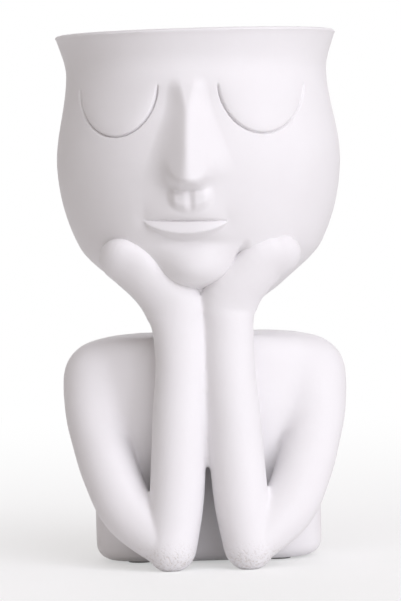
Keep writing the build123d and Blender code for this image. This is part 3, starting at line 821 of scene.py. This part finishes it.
def limb_stations(controls, palm, start_reach, end_reach, count=40):
    """Stations along a limb: centre, the two half axes of its section, as vectors in metres."""
    travel = [0.0]
    for before, after in zip(controls, controls[1:]):
        travel.append(travel[-1] + math.dist(before[:3], after[:3]))
    columns = [[(t, c[i]) for t, c in zip(travel, controls)] for i in range(5)]
    run = []
    for i in range(count):
        place = travel[-1] * i / (count - 1)
        low, high = max(0.0, place - 0.5), min(travel[-1], place + 0.5)
        *centre, half_width, half_thickness = (smooth_curve(column, place) for column in columns)
        along = [smooth_curve(column, high) - smooth_curve(column, low) for column in columns[:3]]
        run.append((Vector(centre), Vector(along).normalized(), half_width, half_thickness))
    caps = [math.radians(d) for d in (15, 30, 45, 58, 70, 80, 87)]

    def rounded_end(end, reach, turn):
        centre, along, half_width, half_thickness = end
        shrink = math.cos(turn)
        return centre + along * reach * math.sin(turn), along, half_width * shrink, half_thickness * shrink

    first = [rounded_end(run[0], -start_reach, turn) for turn in reversed(caps)]
    last = [rounded_end(run[-1], end_reach, turn) for turn in caps]
    stations = []
    run = first + run + last
    for i, (centre, along, half_width, half_thickness) in enumerate(run):
        turn = smooth_step(0.55, 0.95, i / (len(run) - 1))
        facing = Vector((0, -1, 0)) * (1 - turn) + Vector(palm) * turn
        across = along.cross(facing).normalized()
        outward = across.cross(along).normalized()
        stations.append(((centre + Vector((0, AXIS_Y / MM, 0))) * MM, across * half_width * MM,
                         outward * half_thickness * MM))
    return stations


def limb_rings(stations, sides=48):
    """Rings of points round a limb's elliptic sections."""
    turns = [math.tau * i / sides for i in range(sides)]
    return [[c + a * math.cos(t) + b * math.sin(t) for t in turns] for c, a, b in stations]


def limbs(body, side):
    """Stations of one side's upper arm and forearm with its hand."""
    r, f = body.upper_arm_radius / MM, body.forearm_radius / MM
    upper = limb_stations(upper_arm_controls(body, side), (0, -1, 0), body.shoulder_radius / MM, r - 1.8)
    palm = (side * 0.5, -0.65, -0.5)
    fore = limb_stations(forearm_controls(body, side), palm, f - 0.6, body.hand_width / 2 / MM)
    return upper, fore


def distance_to_limb(points, stations):
    """Rough distance of points from a limb's surface, negative inside it."""
    nearest = np.full(len(points), 1e9)
    for centre, across, outward in stations:
        radius = (across.length + outward.length) / 2
        nearest = np.minimum(nearest, np.linalg.norm(points - np.array(centre), axis=1) - radius)
    return nearest


def distance_to_torso(points, stations):
    """Rough distance of points from the torso's surface, negative inside it."""
    heights = np.array([s[0] for s in stations])
    half, front, back = (np.interp(points[:, 2], heights, [s[i] for s in stations]) for i in (1, 2, 3))
    half_depth, middle = (front + back) / 2, AXIS_Y + (back - front) / 2
    share = (np.abs(points[:, 0]) / half) ** 3 + (np.abs(points[:, 1] - middle) / half_depth) ** 3
    sideways = (share ** (1 / 3) - 1) * np.minimum(half, half_depth)
    above = points[:, 2] - SHOULDER_Z
    return np.maximum(sideways, above)


def mesh_points(mesh):
    """A mesh's vertex places as rows."""
    places = np.empty(len(mesh.vertices) * 3)
    mesh.vertices.foreach_get("co", places)
    return places.reshape(-1, 3)


def soften_shoulders(piece, stations, left, right):
    """Smooths the skin strongly where the upper arms grow out of the torso, and lightly all over."""
    points = mesh_points(piece.data)
    torso = distance_to_torso(points, stations)
    arm = np.minimum(distance_to_limb(points, left[0]), distance_to_limb(points, right[0]))
    near = np.maximum(torso, arm) / MM
    weight = np.clip((13.0 - near) / 9.0, 0, 1) * np.clip((points[:, 2] / MM - 44) / 16, 0, 1)
    group = piece.vertex_groups.new(name="shoulders")
    for index in np.nonzero(weight > 0.01)[0]:
        group.add([int(index)], float(weight[index]), "REPLACE")
    apply_modifier(piece, "SMOOTH", factor=0.5, iterations=300, vertex_group="shoulders")
    apply_modifier(piece, "SMOOTH", factor=0.5, iterations=5)
    piece.vertex_groups.clear()


def cylinder(name, x, y, low, high, radius, sides=64):
    """A plain round cutter between two heights."""
    bpy.ops.mesh.primitive_cylinder_add(
        vertices=sides, radius=radius, depth=high - low, location=(x, y, (low + high) / 2)
    )
    piece = name_new(name)
    bpy.ops.object.transform_apply(location=True, rotation=True, scale=True)
    return piece


def join(pieces):
    """Makes one object of several, under the first one's name."""
    bpy.ops.object.select_all(action="DESELECT")
    for piece in pieces:
        piece.select_set(True)
    bpy.context.view_layer.objects.active = pieces[0]
    bpy.ops.object.join()
    return pieces[0]


def head_core(head):
    """The head's form a little inside its skin, which the hands end in."""
    rings = []
    for z in steps(NECK_TOP_Z, CHEEK_Z, 1.5 * MM):
        ring = []
        for i in range(120):
            angle = math.tau * i / 120 + math.pi / 2
            radius, turned = head_radius(head, angle, z) - 1.3 * MM, angle - head.turn
            ring.append((radius * math.sin(turned), AXIS_Y - radius * math.cos(turned), z))
        rings.append(ring)
    return ringed_form("head_core", rings)


def hollow_torso(body, fittings, piece):
    """Cuts the hollow, the neck's socket, the drain with its recess and the pads' pockets."""
    wall = body.torso_wall
    low, high = BASE_Z + wall, SHOULDER_Z - wall
    stations = torso_stations(body, wall)
    lift = [(low + (s[0] - BASE_Z) / (SHOULDER_Z - BASE_Z) * (high - low), *s[1:]) for s in stations]
    cut(piece, ringed_form("hollow", torso_rings(lift, steps(low, high, 3 * MM))))
    seat = 0.2 * MM
    holes = [
        cylinder("socket", 0, AXIS_Y, SHOULDER_Z - 2 * wall, SHOULDER_Z + wall,
                 fittings.spigot_radius + seat),
        cylinder("recess", 0, AXIS_Y, -5 * MM, BASE_Z + 3.0 * MM, fittings.flange_radius + seat),
    ]
    for node in PAD_NODES:
        lowest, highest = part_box(node)
        middle = (lowest + highest) / 2
        holes.append(cylinder(node + "_pocket", middle.x, middle.y, -5 * MM, highest.z + 0.05 * MM,
                              (highest.x - lowest.x) / 2 + seat))
    cut(piece, join(holes))
    cut(piece, cylinder("drain", 0, AXIS_Y, -5 * MM, BASE_Z + 2 * wall, fittings.drain_radius))


def part_skin(piece, stations, left, right):
    """Parts the grown-together skin into torso and arms, which keep its shading across their seams."""
    mesh = piece.data
    normals = np.empty(len(mesh.loops) * 3, dtype=np.float32)
    mesh.corner_normals.foreach_get("vector", normals)
    kept = mesh.attributes.new("skin_normal", "FLOAT_VECTOR", "CORNER")
    kept.data.foreach_set("vector", normals)
    outward = np.empty(len(mesh.vertices) * 3, dtype=np.float32)
    mesh.vertex_normals.foreach_get("vector", outward)
    mesh.attributes.new("skin_outward", "FLOAT_VECTOR", "POINT").data.foreach_set("vector", outward)
    centres = np.empty(len(mesh.polygons) * 3)
    mesh.polygons.foreach_get("center", centres)
    centres = centres.reshape(-1, 3)
    torso = distance_to_torso(centres, stations)
    arms = [np.minimum(distance_to_limb(centres, u), distance_to_limb(centres, f)) for u, f in (left, right)]
    inside = torso < -2.0 * MM
    pieces = {"torso_skin": piece}
    for name, mine, other in (("left_arm_skin", arms[0], arms[1]), ("right_arm_skin", arms[1], arms[0])):
        belongs = (mine < torso) & (mine < other) & ~inside
        piece.data.attributes.new(name, "BOOLEAN", "FACE").data.foreach_set("value", belongs)
    for name in ("left_arm_skin", "right_arm_skin"):
        before = set(bpy.data.objects)
        mesh = edit(piece, "FACE")
        layer = mesh.faces.layers.bool[name]
        for face in mesh.faces:
            face.select = face[layer]
        bmesh.update_edit_mesh(piece.data)
        bpy.ops.mesh.separate(type="SELECTED")
        close_edit(piece)
        pieces[name] = (set(bpy.data.objects) - before).pop()
    for name, part in pieces.items():
        part.name = name
        close_seams(part)
    return pieces


def close_seams(part):
    """Closes a parted piece inside the casting where its neighbour was, and restores its shading."""
    own = len(part.data.loops)
    edit(part, "EDGE")
    bpy.ops.mesh.select_non_manifold(
        extend=False, use_wire=False, use_multi_face=False, use_non_contiguous=False, use_verts=False
    )
    bpy.ops.mesh.extrude_region()
    mesh = bmesh.from_edit_mesh(part.data)
    outward = mesh.verts.layers.float_vector["skin_outward"]
    for vertex in mesh.verts:
        if vertex.select:
            vertex.co -= vertex[outward] * 2.5 * MM
    bmesh.update_edit_mesh(part.data)
    bpy.ops.mesh.fill_holes(sides=0)
    close_edit(part)
    mesh = part.data
    normals = np.empty(len(mesh.loops) * 3, dtype=np.float32)
    mesh.attributes["skin_normal"].data.foreach_get("vector", normals)
    normals = normals.reshape(-1, 3)
    normals[own:] = 0.0
    mesh.normals_split_custom_set(normals)
    for name in ("skin_normal", "skin_outward", "left_arm_skin", "right_arm_skin"):
        mesh.attributes.remove(mesh.attributes[name])


class PLANTER_OT_body(bpy.types.Operator):
    """Draws the torso and the arms, grows them together at the shoulders and parts them again"""

    bl_idname = "planter.body"
    bl_label = "Torso and arms"

    def execute(self, context):
        scene = context.scene
        body = scene.planter_body
        stations = torso_stations(body, 0.0)
        forms = [ringed_form("torso_form", torso_rings(stations, steps(BASE_Z, SHOULDER_Z, 1.5 * MM)))]
        left, right = limbs(body, -1), limbs(body, 1)
        for arm in (left, right):
            for number, run in enumerate(arm):
                forms.append(ringed_form(f"limb_form_{number}", limb_rings(run)))
        skin = join(forms)
        apply_modifier(skin, "REMESH", mode="VOXEL", voxel_size=body.skin)
        soften_shoulders(skin, stations, left, right)
        edit(skin, "FACE")
        bpy.ops.mesh.select_all(action="SELECT")
        bpy.ops.mesh.bisect(
            plane_co=(0, 0, 0), plane_no=(0, 0, 1), clear_inner=True, use_fill=True, threshold=1e-6
        )
        close_edit(skin)
        cut(skin, head_core(scene.planter_head))
        hollow_torso(body, scene.planter_fittings, skin)
        smooth_shading(skin, 40)
        ceramic = unglazed_ceramic(scene.planter_finish)
        nodes = {"torso_skin": "torso", "left_arm_skin": "left_arm", "right_arm_skin": "right_arm"}
        for name, piece in part_skin(skin, stations, left, right).items():
            finish_piece(piece, ceramic, "white_casting", nodes[name])
        return {"FINISHED"}


# Fittings


class PLANTER_OT_plug(bpy.types.Operator):
    """Turns the drain plug with its sealing ribs and adds the bar to pull it by"""

    bl_idname = "planter.plug"
    bl_label = "Drain plug"

    def execute(self, context):
        scene = context.scene
        fittings = scene.planter_fittings
        lowest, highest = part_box("drain_plug")
        stem = fittings.drain_radius - 0.06 * MM
        seat = BASE_Z + (3.0 - 0.06) * MM
        flange, edge = seat - 2.2 * MM, 0.5 * MM
        radius = fittings.flange_radius
        profile = [(0.4 * MM, flange), (radius - 3.0 * MM, flange)]
        profile += arc(radius - edge, flange + edge, edge, -90, 0, 5)
        profile += arc(radius - edge, seat - edge, edge, 0, 90, 5)
        profile += [(stem - 0.25 * MM, seat)]
        rib_section = ((0.3, -0.8), (0.08, -0.35), (0.0, 0.0), (0.08, 0.35), (0.3, 0.8))
        for rib in (1.6, 3.6, 5.6):
            profile += [(stem - drawn_in * MM, seat + (rib + rise) * MM) for drawn_in, rise in rib_section]
        top = highest.z
        profile += arc(stem - 1.6 * MM, top - 1.2 * MM, 1.2 * MM, 10, 90, 5)
        profile += [(0.4 * MM, top)]
        stopper = lathe("drain_plug_skin", profile, 72)
        for vertex in stopper.data.vertices:
            vertex.co.y += AXIS_Y
        edit(stopper, "EDGE")
        bpy.ops.mesh.select_non_manifold(extend=False)
        bpy.ops.mesh.edge_face_add()
        close_edit(stopper)
        bar_top = flange + 0.4 * MM
        bpy.ops.mesh.primitive_cube_add(size=1, location=(0, AXIS_Y, (lowest.z + bar_top) / 2))
        bar = name_new("pull_bar")
        bar.scale = (1.4 * radius, 3.0 * MM, bar_top - lowest.z)
        bpy.ops.object.transform_apply(location=True, rotation=True, scale=True)
        apply_modifier(bar, "BEVEL", width=0.35 * MM, segments=3)
        piece = join([stopper, bar])
        smooth_shading(piece, 40)
        rubber = moulded_rubber("moulded_plug_rubber", tuple(scene.planter_finish.plug))
        finish_piece(piece, rubber, "plug_rubber", "drain_plug")
        return {"FINISHED"}


class PLANTER_OT_pads(bpy.types.Operator):
    """Gives the four pads under the base their rubber"""

    bl_idname = "planter.pads"
    bl_label = "Pads"

    def execute(self, context):
        rubber = moulded_rubber("moulded_pad_rubber", tuple(context.scene.planter_finish.pad))
        for name in PAD_NODES:
            mesh = frame["nodes"][name].data
            mesh.materials.clear()
            mesh.materials.append(rubber)
        return {"FINISHED"}


# Stage


class PLANTER_OT_stage(bpy.types.Operator):
    """Sets the pale floor, the white surround, the lamps and the camera"""

    bl_idname = "planter.stage"
    bl_label = "Stage"

    def execute(self, context):
        scene = context.scene
        stage = scene.planter_stage
        bpy.ops.mesh.primitive_plane_add(size=6)
        floor = name_new("floor")
        floor.data.materials.append(pale_floor(scene.planter_finish))
        self.surround(scene, stage.fill)
        self.lamp("key", stage.key, right=45, up=12)
        self.lamp("front", stage.front, right=25, up=35)
        self.lamp("top", stage.top, right=5, up=60)
        self.lamp("back", stage.back, right=185, up=25)
        self.camera(scene, stage)
        scene.view_settings.view_transform = "Standard"
        return {"FINISHED"}

    def surround(self, scene, strength):
        """A surround that the camera, gloss and glass see as white and that lights the planter evenly."""
        world = bpy.data.worlds.new("white_surround")
        scene.world = world
        world.use_nodes = True
        tree = world.node_tree
        tree.nodes.clear()
        output = add_node(tree, "ShaderNodeOutputWorld")
        shown = seen_rays(tree)
        light = add_node(tree, "ShaderNodeBackground", {"Color": linear("#FFF3EC"), "Strength": strength})
        white = add_node(tree, "ShaderNodeBackground", {"Color": (1, 1, 1, 1), "Strength": 1.0})
        mix = add_node(tree, "ShaderNodeMixShader", None, {"Fac": (shown, "Value")})
        tree.links.new(light.outputs["Background"], mix.inputs[1])
        tree.links.new(white.outputs["Background"], mix.inputs[2])
        tree.links.new(mix.outputs["Shader"], output.inputs["Surface"])

    def lamp(self, name, strength, right, up):
        """A large, distant and soft lamp, so many degrees to the right and up as seen from the planter."""
        right, up = math.radians(right), math.radians(up)
        towards = Vector((math.sin(right) * math.cos(up), -math.cos(right) * math.cos(up), math.sin(up)))
        bpy.ops.object.light_add(type="SUN", location=towards * 2.0)
        lamp = name_new(name)
        lamp.data.energy = strength
        lamp.data.color = linear("#F5F5FD")[:3]
        lamp.data.angle = math.radians(35)
        lamp.rotation_euler = (-towards).to_track_quat("-Z", "Y").to_euler()

    def camera(self, scene, stage):
        """The photograph's camera: almost level with the nose and tilted a little."""
        target = Vector((-0.76 * MM, AXIS_Y, 98.6 * MM))
        back = Vector((0, -math.cos(stage.elevation), math.sin(stage.elevation)))
        place = target + back * stage.distance
        turn = (-back).to_track_quat("-Z", "Y").to_matrix().to_4x4()
        bpy.ops.object.camera_add()
        camera = name_new("camera")
        camera.matrix_world = Matrix.Translation(place) @ turn @ Matrix.Rotation(-stage.roll, 4, "Z")
        camera.data.sensor_fit = "VERTICAL"
        camera.data.sensor_height = 24.0
        camera.data.lens = 24.0 * stage.distance / stage.picture_height
        camera.data.dof.use_dof = False
        scene.camera = camera


class PLANTER_PT_panel(bpy.types.Panel):
    """The planter's steps in the sidebar"""

    bl_label = "Head planter"
    bl_idname = "PLANTER_PT_panel"
    bl_space_type = "VIEW_3D"
    bl_region_type = "UI"
    bl_category = "Planter"

    def draw(self, context):
        for step in OPERATORS:
            self.layout.operator(step.bl_idname)
        for name, group in GROUPS.items():
            box = self.layout.box()
            settings = getattr(context.scene, name)
            for key in group.__annotations__:
                box.prop(settings, key)


GROUPS = {
    "planter_head": PlanterHead,
    "planter_body": PlanterBody,
    "planter_fittings": PlanterFittings,
    "planter_finish": PlanterFinish,
    "planter_stage": PlanterStage,
}
OPERATORS = (PLANTER_OT_head, PLANTER_OT_body, PLANTER_OT_plug, PLANTER_OT_pads, PLANTER_OT_stage)


def register():
    for kind in (*GROUPS.values(), *OPERATORS, PLANTER_PT_panel):
        bpy.utils.register_class(kind)
    for name, group in GROUPS.items():
        setattr(bpy.types.Scene, name, PointerProperty(type=group))


def unregister():
    for name in GROUPS:
        delattr(bpy.types.Scene, name)
    for kind in reversed((*GROUPS.values(), *OPERATORS, PLANTER_PT_panel)):
        bpy.utils.unregister_class(kind)


def main():
    register()
    bpy.ops.planter.head()
    bpy.ops.planter.body()
    bpy.ops.planter.plug()
    bpy.ops.planter.pads()
    bpy.ops.planter.stage()


if __name__ == "__main__":
    main()
